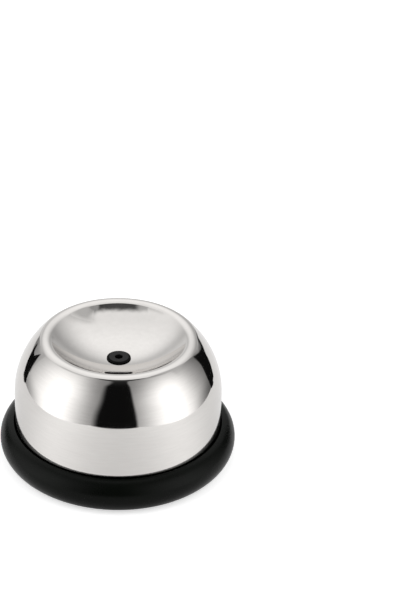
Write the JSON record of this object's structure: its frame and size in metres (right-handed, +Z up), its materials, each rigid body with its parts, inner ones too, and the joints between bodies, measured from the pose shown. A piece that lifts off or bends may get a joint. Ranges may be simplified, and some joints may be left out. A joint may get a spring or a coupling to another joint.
{
  "type": "egg piercer",
  "caption": "Polished steel dome with an egg dish, sprung on a round black base. Pressing an egg into the dish pierces its shell with a fixed needle, which a dial underneath lowers.",
  "frame": {"origin": "on the table under the middle of the base", "axes": "+Z up along the needle, +X along the finger bar of the dial with the needle raised, -Y towards the camera"},
  "size_m": [0.063, 0.063, 0.035],
  "materials": {
    "mirror_steel": "mirror-polished stainless sheet",
    "bush_plastic": "black moulded plastic, satin",
    "seal_rubber": "black rubber",
    "nut_brass": "plain turned brass",
    "frame_plastic": "dark grey moulded plastic",
    "fastener_steel": "bright zinc-plated steel",
    "spring_steel": "drawn spring wire",
    "base_plastic": "black moulded plastic, matt",
    "ring_rubber": "black satin rubber",
    "dial_plastic": "mid grey moulded plastic",
    "carriage_plastic": "off-white bearing plastic",
    "needle_steel": "ground stainless"
  },
  "bodies": {
    "base": {"base_tray": "base_plastic", "base_ring": "ring_rubber", "dial_retainer": "base_plastic", "return_spring": "spring_steel"},
    "dome": {"dome_shell": "mirror_steel", "needle_bush": "bush_plastic", "dish_gasket": "seal_rubber", "bush_nut": "nut_brass", "inner_frame": "frame_plastic", "travel_screws": "fastener_steel", "travel_washers": "fastener_steel"},
    "dial": {"lock_dial": "dial_plastic", "dial_o_ring": "seal_rubber"},
    "carriage": {"needle_carriage": "carriage_plastic", "cross_pin": "fastener_steel", "needle": "needle_steel"}
  },
  "joints": [
    {"name": "dome_press", "type": "slide", "parent": "base", "child": "dome", "axis": [0, 0, -1], "range_m": [0, 0.004], "stiffness_N_per_m": 1500, "springref_m": -0.004, "deforming": ["return_spring"]},
    {"name": "dial_turn", "type": "hinge", "parent": "base", "child": "dial", "pos_m": [0, 0, 0.0031], "axis": [0, 0, 1], "range_deg": [0, 90]},
    {"name": "needle_lower", "type": "slide", "parent": "base", "child": "carriage", "axis": [0, 0, -1], "range_m": [0, 0.0045]}
  ],
  "couplings": [
    {"joint": "dial_turn", "follows": "needle_lower", "rad_per_m": 349.06}
  ]
}
